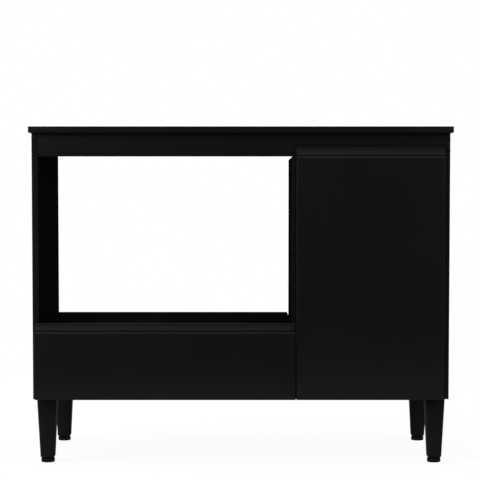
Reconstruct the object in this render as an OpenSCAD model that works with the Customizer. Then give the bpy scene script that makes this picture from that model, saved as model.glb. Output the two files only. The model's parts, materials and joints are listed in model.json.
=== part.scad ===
// Oven cabinet: a worktop with a hob cut-out, an open niche, one wide drawer and a
// cupboard with a tall door, on four square tapered legs with levelling feet.
// The origin is on the floor under the middle of the worktop. The front faces -Y.

/* [Worktop] */
// Width over the worktop
worktop_w = 1050; // [960:5:1200]
// Depth of the worktop, front to back
worktop_d = 480; // [470:5:600]
// Height of the worktop's top above the floor
worktop_top_z = 840; // [800:5:900]
// Thickness of the worktop
worktop_t = 15; // [12:1:25]
// How far the worktop stands out past each side panel
worktop_side_overhang = 6; // [3:1:20]
// How far the worktop stands out in front of the carcass
worktop_front_overhang = 20; // [19:1:30]
// Width of the cut-out for the hob
hob_cutout_w = 480; // [400:5:500]
// Corner radius of the cut-out for the hob
hob_cutout_r = 12; // [4:1:30]
// Distance from the worktop's left end to the cut-out
hob_cutout_from_left = 80; // [45:5:110]
// Distance from the worktop's front edge to the cut-out
hob_cutout_from_front = 47; // [46:1:60]
// Distance from the worktop's rear edge to the cut-out
hob_cutout_from_rear = 43; // [25:1:80]

/* [Carcass] */
// Thickness of the carcass boards
board_t = 15; // [14:1:18]
// Height of the carcass above the floor
leg_clear_h = 162; // [130:1:180]
// Height of the apron under the worktop
apron_h = 58; // [45:1:80]
// Height of the rail at the back under the worktop
rear_rail_h = 43; // [40:1:58]
// Clear width of the cupboard
cupboard_w = 361.5; // [300:0.5:420]
// Depth of the cupboard and of the divider
cupboard_d = 325; // [315:5:400]
// Clear height of the drawer bay
drawer_bay_h = 159; // [150:1:200]
// Thickness of the hardboard backs
back_t = 3; // [2.5:0.5:6]
// Depth of the groove that holds one side of the cupboard's back
back_groove_d = 6; // [4:1:8]
// Thickness of the edging tape
band_t = 0.8; // [0.4:0.1:2]

/* [Cupboard shelf] */
// Height of the shelf's underside above the cupboard's floor
shelf_rise = 290; // [200:2:380]
// Gap at each end of the shelf
shelf_end_gap = 0.75; // [0.5:0.25:2]
// How far the shelf's front edge lies behind the carcass front
shelf_setback = 70; // [66:1:120]
// Gap between the shelf and the cupboard's back
shelf_rear_gap = 5; // [2:1:15]
// Radius of a shelf pin
shelf_pin_r = 2.5; // [2:0.1:3]
// Length of a shelf pin inside the board
shelf_pin_bite = 8; // [6:0.5:10]
// Length of a shelf pin under the shelf
shelf_pin_reach = 9; // [6:0.5:14]
// Distance from the shelf's front and back edges to its pins
shelf_pin_inset = 35; // [20:1:60]
// Distance between the rows of pin holes
pin_hole_pitch = 32; // [25:1:40]

/* [Door and drawer front] */
// Thickness of the fronts
front_t = 15; // [14:0.5:16]
// Gap between the carcass and the back of the fronts
front_gap = 3; // [2.8:0.1:3]
// Gap between the drawer front and the door
front_reveal = 2.2; // [1.5:0.1:4]
// Distance from the divider's left face to the middle of that gap
reveal_from_divider = 9.7; // [7:0.1:12]
// How far the door covers the edge of the right side panel
door_side_cover = 1.2; // [0.5:0.1:2]
// How far the drawer front covers the edge of the left side panel
drawer_side_cover = 9; // [2:0.5:13]
// How far the door covers the apron
door_apron_cover = 20.5; // [16:0.5:30]
// How far the drawer front rises above the floor of the niche
drawer_front_rise = 1.5; // [0:0.5:5]

/* [Handle profiles] */
// Height of a handle profile
pull_h = 25.4; // [22:0.2:40]
// Height of the lip at the front of the profile
pull_lip_h = 4.9; // [3:0.1:8]
// Thickness of that lip
pull_lip_t = 2.2; // [1.5:0.1:3]
// Height of the shadow groove above the lip
pull_groove_h = 2.5; // [1:0.1:4]
// Depth of the finger hollow at its upper and lower edges
pull_mouth_d = 8.5; // [7.2:0.1:9]
// Depth of the finger hollow at its deepest
pull_hollow_d = 12; // [10:0.1:13]
// Height of the nose along the top of the profile
pull_nose_h = 1.8; // [1:0.1:3]
// How far the nose lies behind the front face
pull_nose_back = 6; // [4:0.1:7]
// Thickness of the profile's floor
pull_floor_t = 1.5; // [1:0.1:2.5]
// Thickness of the tongue that holds the profile in its board
pull_tongue_t = 2.5; // [2:0.1:4]
// Height of that tongue
pull_tongue_h = 8; // [6:0.5:12]

/* [Drawer] */
// Thickness of the drawer's sides and back
drawer_board_t = 12; // [12:1:15]
// Height of the drawer's sides
drawer_side_h = 110; // [90:1:125]
// Length of the drawer's sides
drawer_side_l = 310; // [306:1:312]
// Height of the drawer's sides above the bay's floor
drawer_floor_gap = 14; // [8:1:18]
// Thickness of the drawer's bottom
drawer_bottom_t = 3; // [2.5:0.5:6]
// Depth of the grooves that hold the drawer's bottom
drawer_groove_d = 6; // [4:0.5:8]
// Height of the drawer's bottom above the lower edge of its sides
drawer_bottom_rise = 8; // [6:1:12]
// How far the drawer opens
drawer_travel = 290; // [200:5:292]

/* [Drawer slides] */
// Length of a slide
slide_l = 300; // [298:1:300]
// Thickness of a slide
slide_t = 12.7; // [12.6:0.1:13]
// Height of a slide
slide_h = 45; // [42:0.5:50]
// Thickness of the rails' steel
rail_t = 1.2; // [1:0.1:1.4]
// Gap between the carcass front and the slide's end
slide_setback = 2; // [1:0.5:4]
// Height of the slide's middle above the lower edge of the drawer's side
slide_rise = 52; // [46:1:60]
// Radius of the balls in the outer rail
outer_ball_r = 1.5; // [1.3:0.05:1.5]
// Radius of the balls in the middle rail
inner_ball_r = 1.3; // [1.2:0.05:1.3]
// Running gap between a ball and its rails
ball_gap = 0.1; // [0.05:0.01:0.15]
// Thickness of the strip that holds the balls
cage_t = 0.5; // [0.4:0.1:0.6]
// Length of that strip
cage_l = 110; // [80:2:120]
// Number of balls in one row
ball_count = 5; // [3:1:8]

/* [Door hinges] */
// Distance from the door's upper and lower ends to the hinges
hinge_from_end = 100; // [80:1:150]
// Radius of the hinge cup
cup_r = 17.5; // [17.5:0.1:18]
// Depth of the hinge cup
cup_depth = 11.5; // [11.5:0.1:12]
// Wall of the hinge cup
cup_wall = 1; // [0.8:0.1:1.1]
// Distance from the door's edge to the cup
cup_from_edge = 3; // [2.8:0.1:3.1]
// Height of the opening in the cup that the arm enters
cup_slot_h = 15; // [14:0.5:18]
// Thickness of the cup's flange
cup_flange_t = 1.2; // [1:0.1:1.4]
// Distance between the two screws of a hinge cup
cup_screw_pitch = 48; // [46:1:52]
// Distance from the door's edge to the hinge pin
hinge_pin_from_edge = 6.9; // [6.8:0.05:7]
// Depth of the hinge pin behind the door's rear face
hinge_pin_depth = 8; // [7.9:0.05:8]
// Radius of the hinge pin
hinge_pin_r = 1.25; // [1:0.05:1.4]
// Radius of the arm's eye round the pin
hinge_eye_r = 2.2; // [2.1:0.05:2.2]
// Radial gap between the pin and the arm's eye
hinge_pin_gap = 0.05; // [0.02:0.01:0.08]
// Thickness of the arm where it hooks round the door's edge
hinge_hook_t = 2.6; // [2.2:0.1:2.8]
// Distance from the pin to the middle of the hook
hinge_hook_reach = 12.5; // [12.2:0.1:13]
// Distance from the carcass front to the plate's screws
hinge_screw_setback = 37; // [34:1:45]
// Distance between the plate's screws
hinge_screw_pitch = 32; // [30:1:36]
// Height of the mounting plate off the side panel
hinge_plate_h = 8; // [6:0.5:9]
// Thickness of the arm's channel
hinge_arm_t = 5; // [4:0.5:6]

/* [Legs and levelling feet] */
// Width of a leg at its top
leg_top_w = 49; // [42:1:56]
// Width of a leg near the floor
leg_foot_w = 35; // [34:1:40]
// Width of a leg's end face
leg_end_w = 31; // [26.5:0.5:33.5]
// Height of the rounded end of a leg
leg_end_h = 2; // [1:0.5:6]
// Chamfer along a leg's corners
leg_chamfer = 4; // [2:0.5:6]
// Distance from the carcass's outside to the middle of a leg
leg_inset_x = 32.5; // [29:0.5:45]
// Distance from the carcass front to the middle of a front leg
leg_inset_front = 34; // [28:1:60]
// Distance from the carcass's back to the middle of a rear leg
leg_inset_rear = 40; // [30:1:60]
// Radius of a foot's disc
foot_r = 17; // [15:0.5:20]
// Height of a foot's disc
foot_h = 10.5; // [8:0.5:14]
// Radius of the collar above the disc
foot_collar_r = 12.5; // [10:0.5:13]
// Height of the collar
foot_collar_h = 1.9; // [1:0.1:6]
// Radius of a foot's stud
foot_stud_r = 4; // [3:0.5:5]
// Length of a foot's stud
foot_stud_l = 30; // [22:1:40]
// How far a foot screws out
foot_travel = 10; // [6:1:12]

/* [Fasteners] */
// Radius of a carcass screw's head
screw_head_r = 5; // [4:0.1:5.5]
// Height of that head
screw_head_h = 4; // [3:0.5:5]
// Radius of that screw's shank
screw_shank_r = 3.5; // [3:0.1:3.8]
// Radius of that screw's thread
screw_thread_r = 2.5; // [2:0.1:2.8]
// Length of the thread in the second board
screw_bite = 30; // [20:1:35]
// Distance from the carcass's front and back to its screws
screw_inset = 78; // [70:1:90]
// Radius of a cover cap
cap_r = 7; // [6:0.5:8]
// Thickness of a cover cap
cap_t = 0.6; // [0.4:0.1:1]
// Radius of a small screw's head
small_head_r = 3.2; // [2.8:0.1:3.4]
// Radius of a small screw's shank
small_shank_r = 1.75; // [1.5:0.05:2]
// Length of a small screw in its board
small_screw_bite = 10; // [8:0.5:11]
// Radius of a leg bolt
leg_bolt_r = 4; // [3:0.5:5]
// Length of a leg bolt inside the leg
leg_bolt_l = 30; // [20:1:40]
// Side of a corner bracket
bracket_side = 30; // [24:1:36]
// Width of a corner bracket
bracket_w = 20; // [14:1:24]
// Thickness of a corner bracket
bracket_t = 2; // [1.5:0.1:3]
// Radius of a bumper
bumper_r = 4; // [3:0.5:6]

/* [Hidden] */
$fn = 48;

// Overrun of a cut past the face it opens in
over = 1;
// Gap round a fastener in its hole
hole_gap = 0.1;
// Gap that a stud or a bolt keeps in its bore
stud_gap = 0.05;
// Gap between parts that move past each other or rest loosely
rest_gap = 0.3;

// Colours
laminate = [0.085, 0.085, 0.09];
hardboard = [0.16, 0.14, 0.12];
black_metal = [0.17, 0.17, 0.18];
steel = [0.68, 0.69, 0.70];
black_plastic = [0.11, 0.11, 0.115];
grey_plastic = [0.34, 0.34, 0.35];

// Edges of the cut-out for the hob
hob_cutout_left_x = hob_cutout_from_left - worktop_w / 2;
hob_cutout_right_x = hob_cutout_left_x + hob_cutout_w;
hob_cutout_front_y = hob_cutout_from_front - worktop_d / 2;
hob_cutout_rear_y = worktop_d / 2 - hob_cutout_from_rear;

// Carcass planes
side_outer_x = worktop_w / 2 - worktop_side_overhang;
side_inner_x = side_outer_x - board_t;
front_y = worktop_front_overhang - worktop_d / 2;
rear_y = worktop_d / 2;
tape_y = front_y + band_t;
board_rear_y = rear_y - back_t;
base_z = leg_clear_h;
bay_floor_z = base_z + board_t;
niche_under_z = bay_floor_z + drawer_bay_h;
niche_floor_z = niche_under_z + board_t;
carcass_top_z = worktop_top_z - worktop_t;
apron_z = carcass_top_z - apron_h;
rear_rail_z = carcass_top_z - rear_rail_h;
divider_right_x = side_inner_x - cupboard_w;
divider_left_x = divider_right_x - board_t;
divider_mid_x = divider_right_x - board_t / 2;
cupboard_rear_y = front_y + cupboard_d;
shelf_under_z = bay_floor_z + shelf_rise;
shelf_front_y = front_y + shelf_setback;
shelf_rear_y = cupboard_rear_y - shelf_rear_gap;

// Planes of the door and the drawer front
front_back_y = front_y - front_gap;
front_face_y = front_back_y - front_t;
split_x = divider_left_x + reveal_from_divider;
door_left_x = split_x + front_reveal / 2;
door_right_x = side_inner_x + door_side_cover;
door_top_z = apron_z + door_apron_cover;
door_board_top_z = door_top_z - pull_h;
drawer_front_left_x = -side_inner_x - drawer_side_cover;
drawer_front_right_x = split_x - front_reveal / 2;
drawer_front_top_z = niche_floor_z + drawer_front_rise;
drawer_board_top_z = drawer_front_top_z - pull_h;

// Section of a handle profile, measured back from the front face and up from its foot
pull_hollow_low = pull_lip_h + pull_groove_h;
pull_hollow_high = pull_h - pull_nose_h;
pull_hollow_half = (pull_hollow_high - pull_hollow_low) / 2;
pull_hollow_rise = pull_hollow_d - pull_mouth_d;
pull_hollow_r = (pull_hollow_half * pull_hollow_half + pull_hollow_rise * pull_hollow_rise)
    / (2 * pull_hollow_rise);
pull_tongue_back = (front_t - pull_tongue_t) / 2;

// Drawer box between the slides
bay_left_x = -side_inner_x;
bay_right_x = divider_left_x;
drawer_left_x = bay_left_x + slide_t;
drawer_right_x = bay_right_x - slide_t;
drawer_rear_y = front_back_y + drawer_side_l;
drawer_z = bay_floor_z + drawer_floor_gap;
drawer_top_z = drawer_z + drawer_side_h;
drawer_bottom_z = drawer_z + drawer_bottom_rise;
cam_r = drawer_board_t / 2;
cam_depth = drawer_board_t * 3 / 4;
cam_setback = cam_r * 4;
cam_bolt_r = cam_r / 2;
cam_bolt_bite = front_t * 2 / 3;
cam_zs = [for (share = [0.3, 0.75]) drawer_z + drawer_side_h * share];
back_screw_zs = cam_zs;

// Section of a slide: distances from the cabinet's wall, and heights from its middle
slide_y = front_y + slide_setback;
slide_z = drawer_z + slide_rise;
cage_gap = (slide_t - rail_t * 4) / 20;
outer_cage_x = rail_t + cage_gap;
middle_x = outer_cage_x + cage_t + cage_gap;
inner_cage_x = middle_x + rail_t + cage_gap;
inner_flange_x = inner_cage_x + cage_t + cage_gap;
inner_web_x = slide_t - rail_t;
outer_lip_x = inner_web_x - rail_t - cage_gap;
middle_end_x = outer_lip_x - cage_gap;
outer_ball_x = (rail_t + outer_lip_x) / 2;
inner_ball_x = (middle_x + rail_t + middle_end_x) / 2 + inner_ball_r / 2;
outer_half = slide_h / 2;
outer_ball_z = outer_half - rail_t - ball_gap - outer_ball_r;
middle_half = outer_ball_z - outer_ball_r - ball_gap;
inner_ball_z = middle_half - rail_t - ball_gap - inner_ball_r;
inner_half = inner_ball_z - inner_ball_r - ball_gap;
outer_lip_z = middle_half + rail_t;
fin_half = cage_t;
cage_y = slide_y + drawer_travel / 4 + (slide_l - drawer_travel / 2 - cage_l) / 6;
ball_pitch = cage_l / ball_count;
slide_screw_ys = [for (share = [0.12, 0.5, 0.88]) slide_y + slide_l * share];

// Hinges
hinge_zs = [base_z + hinge_from_end, door_top_z - hinge_from_end];
cup_x = door_right_x - cup_from_edge - cup_r;
cup_face_y = front_back_y + cup_flange_t;
cup_inner_r = cup_r - cup_wall;
cup_floor_y = front_back_y - cup_depth;
hinge_pin_x = door_right_x - hinge_pin_from_edge;
hinge_pin_y = front_back_y - hinge_pin_depth;
hinge_pin_half = cup_slot_h / 2 + hinge_pin_r;
hinge_eye_half = cup_slot_h / 4;
hinge_neck_half = cup_slot_h / 3;
hinge_hook_x = hinge_pin_x - hinge_hook_reach;
hinge_hook_y = front_y + hinge_hook_t;
hinge_arm_x = side_inner_x - hinge_plate_h;
hinge_arm_half = cup_slot_h / 2;
hinge_screw_y = front_y + hinge_screw_setback;
hinge_plate_front_y = hinge_screw_y - small_head_r * 4;
hinge_plate_rear_y = hinge_screw_y + small_head_r * 6;
hinge_wing_t = hinge_plate_h / 3;
hinge_wing_half = hinge_screw_pitch / 2 + small_head_r * 2;
cup_wing_x = cup_x - cup_r / 3;
cup_wing_half_x = small_head_r * 2;
cup_wing_half_z = cup_screw_pitch / 2 + small_head_r * 2;
cup_hole_r = cup_r + hole_gap;

// Legs
leg_x = side_outer_x - leg_inset_x;
leg_front_y = front_y + leg_inset_front;
leg_rear_y = rear_y - leg_inset_rear;
leg_places = [[-leg_x, leg_front_y], [leg_x, leg_front_y], [-leg_x, leg_rear_y], [leg_x, leg_rear_y]];
foot_top_z = foot_h + foot_collar_h;
leg_end_z = foot_top_z + rest_gap;
leg_knee_z = leg_end_z + leg_end_h;
foot_bore_r = foot_stud_r + stud_gap;
foot_bore_top_z = foot_top_z + foot_stud_l + foot_stud_r;
foot_edge = foot_h / 6;
leg_bolt_bite = board_t * 4 / 5;
leg_bolt_shank_r = leg_bolt_r - stud_gap;
hull_skin = leg_end_h / 50;

// Screw places on the side panels, as [y, z]
board_screw_ys = [front_y + screw_inset, (front_y + rear_y) / 2, rear_y - screw_inset];
base_mid_z = base_z + board_t / 2;
niche_mid_z = niche_under_z + board_t / 2;
apron_mid_y = front_y + board_t / 2;
rail_mid_y = rear_y - board_t / 2;
apron_screw_zs = [apron_z + apron_h / 4, apron_z + apron_h * 3 / 4];
rail_screw_zs = [rear_rail_z + rear_rail_h / 4, rear_rail_z + rear_rail_h * 3 / 4];
right_screw_places = concat(
    [for (y = board_screw_ys) [y, base_mid_z]],
    [for (z = apron_screw_zs) [apron_mid_y, z]],
    [for (z = rail_screw_zs) [rail_mid_y, z]]);
left_screw_places = concat(
    right_screw_places,
    [for (y = board_screw_ys) [y, niche_mid_z]]);
divider_screw_ys = [front_y + screw_inset, cupboard_rear_y - screw_inset];
screw_l = board_t + screw_bite;

// Shelf pins
pin_ys = [shelf_front_y + shelf_pin_inset, shelf_rear_y - shelf_pin_inset];
pin_z = shelf_under_z - shelf_pin_r;
pin_rows = [-2, -1, 0, 1, 2];

// Brackets under the worktop and behind the apron
bracket_ys = [front_y + cupboard_d / 3, rear_y - cupboard_d / 3];
bracket_screw_at = bracket_side * 2 / 3;
bracket_screw_bite = board_t * 3 / 5;
bracket_head_h = small_shank_r;
bracket_places = [for (side = [-1, 1]) for (y = bracket_ys) [side, y]];
apron_bracket_x = divider_right_x + bracket_screw_at;
apron_bracket_low_z = apron_z - bracket_w / 2;
apron_bracket_high_z = apron_z + bracket_w / 2;

bumper_t = front_gap - rest_gap;
bumper_inset = bumper_r * 3;

// Nails
nail_head_r = back_t / 2;
nail_head_t = band_t;
nail_r = back_t / 5;
nail_bite = board_t;
nail_count = 6;

function chamfered_square(w, c) = [
    [c - w / 2, -w / 2], [w / 2 - c, -w / 2], [w / 2, c - w / 2], [w / 2, w / 2 - c],
    [w / 2 - c, w / 2], [c - w / 2, w / 2], [-w / 2, w / 2 - c], [-w / 2, c - w / 2]];

function spread(a, b, n) = [for (i = [0 : n - 1]) a + (b - a) * i / (n - 1)];

// A block from one corner to the opposite one
module block(a, b) {
    translate(a)
        cube([b[0] - a[0], b[1] - a[1], b[2] - a[2]]);
}

module rod_x(x0, x1, y, z, r) {
    translate([x0, y, z])
        rotate([0, 90, 0])
            cylinder(h = x1 - x0, r = r);
}

module rod_y(y0, y1, x, z, r) {
    translate([x, y1, z])
        rotate([90, 0, 0])
            cylinder(h = y1 - y0, r = r);
}

module rod_z(z0, z1, x, y, r) {
    translate([x, y, z0])
        cylinder(h = z1 - z0, r = r);
}

// Draws its children for the right side, or mirrored for the left
module on_side(side) {
    mirror([side < 0 ? 1 : 0, 0, 0])
        children();
}

// A carcass screw that goes in along +Z from a board's face, or its hole with a gap
module board_screw(gap = 0) {
    translate([0, 0, gap > 0 ? -over : 0])
        cylinder(h = screw_head_h + (gap > 0 ? over : 0), r = screw_head_r + gap);
    cylinder(h = board_t, r = screw_shank_r + gap);
    cylinder(h = screw_l + gap, r = screw_thread_r + gap);
}

// A small flush screw along +Z whose head is as thick as the sheet it holds
module flush_screw(head_h, gap = 0) {
    translate([0, 0, gap > 0 ? -over : 0])
        cylinder(h = head_h + (gap > 0 ? over : 0), r = small_head_r + gap);
    cylinder(h = head_h + small_screw_bite + gap, r = small_shank_r + gap);
}

// A bracket's screw along +Z: its head lies under the sheet, its shank goes through
module bracket_screw(gap = 0) {
    if (gap == 0)
        translate([0, 0, -bracket_head_h])
            cylinder(h = bracket_head_h, r = small_head_r);
    cylinder(h = bracket_t + bracket_screw_bite + gap, r = small_shank_r + gap);
}

module at_side_screws(side) {
    places = side < 0 ? left_screw_places : right_screw_places;
    on_side(side)
        for (p = places)
            translate([side_outer_x, p[0], p[1]])
                rotate([0, -90, 0])
                    children();
}

module at_divider_screws() {
    for (y = divider_screw_ys) {
        translate([divider_mid_x, y, base_z])
            children();
        translate([divider_right_x, y, niche_mid_z])
            rotate([0, -90, 0])
                children();
    }
}

module at_slide_screws(side) {
    wall_x = side < 0 ? bay_left_x : bay_right_x;
    for (y = slide_screw_ys)
        translate([wall_x, y, slide_z])
            rotate([0, 90 * side, 0])
                translate([0, 0, -rail_t])
                    children();
}

module at_drawer_slide_screws(side) {
    wall_x = side < 0 ? drawer_left_x : drawer_right_x;
    for (y = slide_screw_ys)
        translate([wall_x, y, slide_z])
            rotate([0, -90 * side, 0])
                translate([0, 0, -rail_t])
                    children();
}

module at_hinge_screws() {
    for (z = hinge_zs)
        for (way = [-1, 1])
            translate([side_inner_x, hinge_screw_y, z + way * hinge_screw_pitch / 2])
                rotate([0, 90, 0])
                    translate([0, 0, -hinge_wing_t])
                        children();
}

module at_cup_screws() {
    for (z = hinge_zs)
        for (way = [-1, 1])
            translate([cup_wing_x, cup_face_y, z + way * cup_screw_pitch / 2])
                rotate([90, 0, 0])
                    children();
}

module pin_holes(wall_x, way) {
    for (y = pin_ys)
        for (row = pin_rows)
            translate([wall_x, y, pin_z + row * pin_hole_pitch])
                rotate([0, 90 * way, 0])
                    translate([0, 0, -over])
                        cylinder(h = shelf_pin_bite + over + hole_gap, r = shelf_pin_r + hole_gap);
}

module worktop() {
    color(laminate)
        difference() {
            block([band_t - worktop_w / 2, band_t - worktop_d / 2, carcass_top_z],
                [worktop_w / 2 - band_t, worktop_d / 2, worktop_top_z]);
            block([hob_cutout_left_x + hob_cutout_r, hob_cutout_front_y, carcass_top_z - over],
                [hob_cutout_right_x - hob_cutout_r, hob_cutout_rear_y, worktop_top_z + over]);
            block([hob_cutout_left_x, hob_cutout_front_y + hob_cutout_r, carcass_top_z - over],
                [hob_cutout_right_x, hob_cutout_rear_y - hob_cutout_r, worktop_top_z + over]);
            for (x = [hob_cutout_left_x + hob_cutout_r, hob_cutout_right_x - hob_cutout_r])
                for (y = [hob_cutout_front_y + hob_cutout_r, hob_cutout_rear_y - hob_cutout_r])
                    rod_z(carcass_top_z - over, worktop_top_z + over, x, y, hob_cutout_r);
            at_worktop_bracket_screws()
                bracket_screw(hole_gap);
        }
}

// The front tape covers the ends of the two side tapes
module worktop_edge_bands() {
    color(laminate) {
        block([-worktop_w / 2, -worktop_d / 2, carcass_top_z],
            [worktop_w / 2, band_t - worktop_d / 2, worktop_top_z]);
        for (side = [-1, 1])
            on_side(side)
                block([worktop_w / 2 - band_t, band_t - worktop_d / 2, carcass_top_z],
                    [worktop_w / 2, worktop_d / 2, worktop_top_z]);
    }
}

module side_board() {
    block([side_inner_x, tape_y, base_z], [side_outer_x, rear_y, carcass_top_z]);
}

module side_panel_left() {
    color(laminate)
        difference() {
            on_side(-1)
                side_board();
            at_side_screws(-1)
                board_screw(hole_gap);
            at_slide_screws(-1)
                flush_screw(rail_t, hole_gap);
            at_side_bracket_screws(-1)
                bracket_screw(hole_gap);
        }
}

module side_panel_right() {
    color(laminate)
        difference() {
            side_board();
            at_side_screws(1)
                board_screw(hole_gap);
            at_side_bracket_screws(1)
                bracket_screw(hole_gap);
            at_hinge_screws()
                flush_screw(hinge_wing_t, hole_gap);
            pin_holes(side_inner_x, 1);
            block([side_inner_x - over, cupboard_rear_y, bay_floor_z],
                [side_inner_x + back_groove_d, cupboard_rear_y + back_t, apron_z]);
        }
}

module divider_panel() {
    color(laminate)
        difference() {
            block([divider_left_x, tape_y, bay_floor_z], [divider_right_x, cupboard_rear_y, apron_z]);
            at_divider_screws()
                board_screw(hole_gap);
            at_slide_screws(1)
                flush_screw(rail_t, hole_gap);
            pin_holes(divider_right_x, -1);
            at_divider_nails()
                nail(hole_gap);
            at_divider_bracket_screws()
                bracket_screw(hole_gap);
        }
}

module base_panel() {
    color(laminate)
        difference() {
            block([-side_inner_x, tape_y, base_z], [side_inner_x, board_rear_y, bay_floor_z]);
            for (side = [-1, 1])
                at_side_screws(side)
                    board_screw(hole_gap);
            at_divider_screws()
                board_screw(hole_gap);
            for (p = leg_places)
                rod_z(base_z - over, base_z + leg_bolt_bite + hole_gap, p[0], p[1], leg_bolt_r);
            at_bay_back_nails()
                nail(hole_gap);
        }
}

module niche_shelf() {
    color(laminate)
        difference() {
            block([-side_inner_x, tape_y, niche_under_z], [divider_left_x, board_rear_y, niche_floor_z]);
            at_side_screws(-1)
                board_screw(hole_gap);
            at_divider_screws()
                board_screw(hole_gap);
            at_bay_back_nails()
                nail(hole_gap);
        }
}

module front_apron() {
    color(laminate)
        difference() {
            block([-side_inner_x, front_y, apron_z], [side_inner_x, front_y + board_t, carcass_top_z]);
            for (side = [-1, 1])
                at_side_screws(side)
                    board_screw(hole_gap);
            at_apron_bracket_screws()
                bracket_screw(hole_gap);
        }
}

module rear_rail() {
    color(laminate)
        difference() {
            block([-side_inner_x, rear_y - board_t, rear_rail_z], [side_inner_x, rear_y, carcass_top_z]);
            for (side = [-1, 1])
                at_side_screws(side)
                    board_screw(hole_gap);
        }
}

module carcass_edge_bands() {
    color(laminate) {
        for (side = [-1, 1])
            on_side(side)
                block([side_inner_x, front_y, base_z], [side_outer_x, tape_y, carcass_top_z]);
        block([-side_inner_x, front_y, base_z], [side_inner_x, tape_y, bay_floor_z]);
        block([-side_inner_x, front_y, niche_under_z], [divider_left_x, tape_y, niche_floor_z]);
        block([divider_left_x, front_y, bay_floor_z], [divider_right_x, tape_y, apron_z]);
        block([divider_right_x + shelf_end_gap, shelf_front_y, shelf_under_z],
            [side_inner_x - shelf_end_gap, shelf_front_y + band_t, shelf_under_z + board_t]);
    }
}

module cupboard_back() {
    color(hardboard)
        difference() {
            block([divider_left_x, cupboard_rear_y, bay_floor_z],
                [side_inner_x + back_groove_d, cupboard_rear_y + back_t, apron_z]);
            at_divider_nails()
                nail(hole_gap);
        }
}

module drawer_bay_back() {
    color(hardboard)
        difference() {
            block([-side_inner_x, board_rear_y, base_z], [divider_left_x, rear_y, niche_floor_z]);
            at_bay_back_nails()
                nail(hole_gap);
        }
}

module cupboard_shelf() {
    color(laminate)
        block([divider_right_x + shelf_end_gap, shelf_front_y + band_t, shelf_under_z],
            [side_inner_x - shelf_end_gap, shelf_rear_y, shelf_under_z + board_t]);
}

module shelf_pins() {
    color(steel)
        for (y = pin_ys) {
            rod_x(divider_right_x - shelf_pin_bite, divider_right_x + shelf_pin_reach, y, pin_z, shelf_pin_r);
            rod_x(side_inner_x - shelf_pin_reach, side_inner_x + shelf_pin_bite, y, pin_z, shelf_pin_r);
        }
}

// An angle bracket with its corner at the origin and its legs along -X and -Z
module angle_bracket() {
    difference() {
        union() {
            block([-bracket_side, -bracket_w / 2, -bracket_t], [0, bracket_w / 2, 0]);
            block([-bracket_t, -bracket_w / 2, -bracket_side], [0, bracket_w / 2, 0]);
        }
        translate([-bracket_screw_at, 0, -bracket_t])
            bracket_screw(hole_gap);
        translate([-bracket_t, 0, -bracket_screw_at])
            rotate([0, 90, 0])
                bracket_screw(hole_gap);
    }
}

module at_worktop_bracket_screws() {
    for (p = bracket_places)
        on_side(p[0])
            translate([side_inner_x - bracket_screw_at, p[1], carcass_top_z - bracket_t])
                children();
}

module at_side_bracket_screws(side) {
    for (y = bracket_ys)
        on_side(side)
            translate([side_inner_x - bracket_t, y, carcass_top_z - bracket_screw_at])
                rotate([0, 90, 0])
                    children();
}

module at_divider_bracket_screws() {
    translate([divider_right_x + bracket_t, front_y + board_t + bracket_screw_at, apron_bracket_low_z])
        rotate([0, -90, 0])
            children();
}

module at_apron_bracket_screws() {
    translate([apron_bracket_x, front_y + board_t + bracket_t, apron_bracket_high_z])
        rotate([90, 0, 0])
            children();
}

// A flat tab behind the apron that turns down onto the divider's face
module divider_bracket() {
    rear = front_y + board_t;
    difference() {
        union() {
            block([divider_right_x, rear, apron_z - bracket_w],
                [divider_right_x + bracket_t, rear + bracket_side, apron_z + bracket_w]);
            block([divider_right_x, rear, apron_z],
                [divider_right_x + bracket_side, rear + bracket_t, apron_z + bracket_w]);
        }
        at_divider_bracket_screws()
            bracket_screw(hole_gap);
        at_apron_bracket_screws()
            bracket_screw(hole_gap);
    }
}

module corner_brackets() {
    color(steel) {
        for (p = bracket_places)
            on_side(p[0])
                translate([side_inner_x, p[1], carcass_top_z])
                    angle_bracket();
        divider_bracket();
    }
}

module bracket_screws() {
    color(steel) {
        at_worktop_bracket_screws()
            bracket_screw();
        for (side = [-1, 1])
            at_side_bracket_screws(side)
                bracket_screw();
        at_divider_bracket_screws()
            bracket_screw();
        at_apron_bracket_screws()
            bracket_screw();
    }
}

module carcass_screws() {
    color(steel) {
        for (side = [-1, 1])
            at_side_screws(side)
                board_screw();
        at_divider_screws()
            board_screw();
    }
}

module screw_caps() {
    color(black_plastic)
        for (side = [-1, 1])
            at_side_screws(side)
                translate([0, 0, -cap_t])
                    cylinder(h = cap_t, r = cap_r);
}

// A nail that goes in along +Z through a hardboard back, its head flush
module nail(gap = 0) {
    translate([0, 0, gap > 0 ? -over : 0])
        cylinder(h = nail_head_t + (gap > 0 ? over : 0), r = nail_head_r + gap);
    cylinder(h = back_t + nail_bite + gap, r = nail_r + gap);
}

module at_divider_nails() {
    for (z = spread(bay_floor_z + screw_inset, apron_z - screw_inset, nail_count))
        translate([divider_mid_x, cupboard_rear_y + back_t, z])
            rotate([90, 0, 0])
                children();
}

module at_bay_back_nails() {
    for (x = spread(screw_inset - side_inner_x, divider_left_x - screw_inset, nail_count))
        for (z = [base_mid_z, niche_mid_z])
            translate([x, rear_y, z])
                rotate([90, 0, 0])
                    children();
}

module back_nails() {
    color(steel) {
        at_divider_nails()
            nail();
        at_bay_back_nails()
            nail();
    }
}

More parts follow.
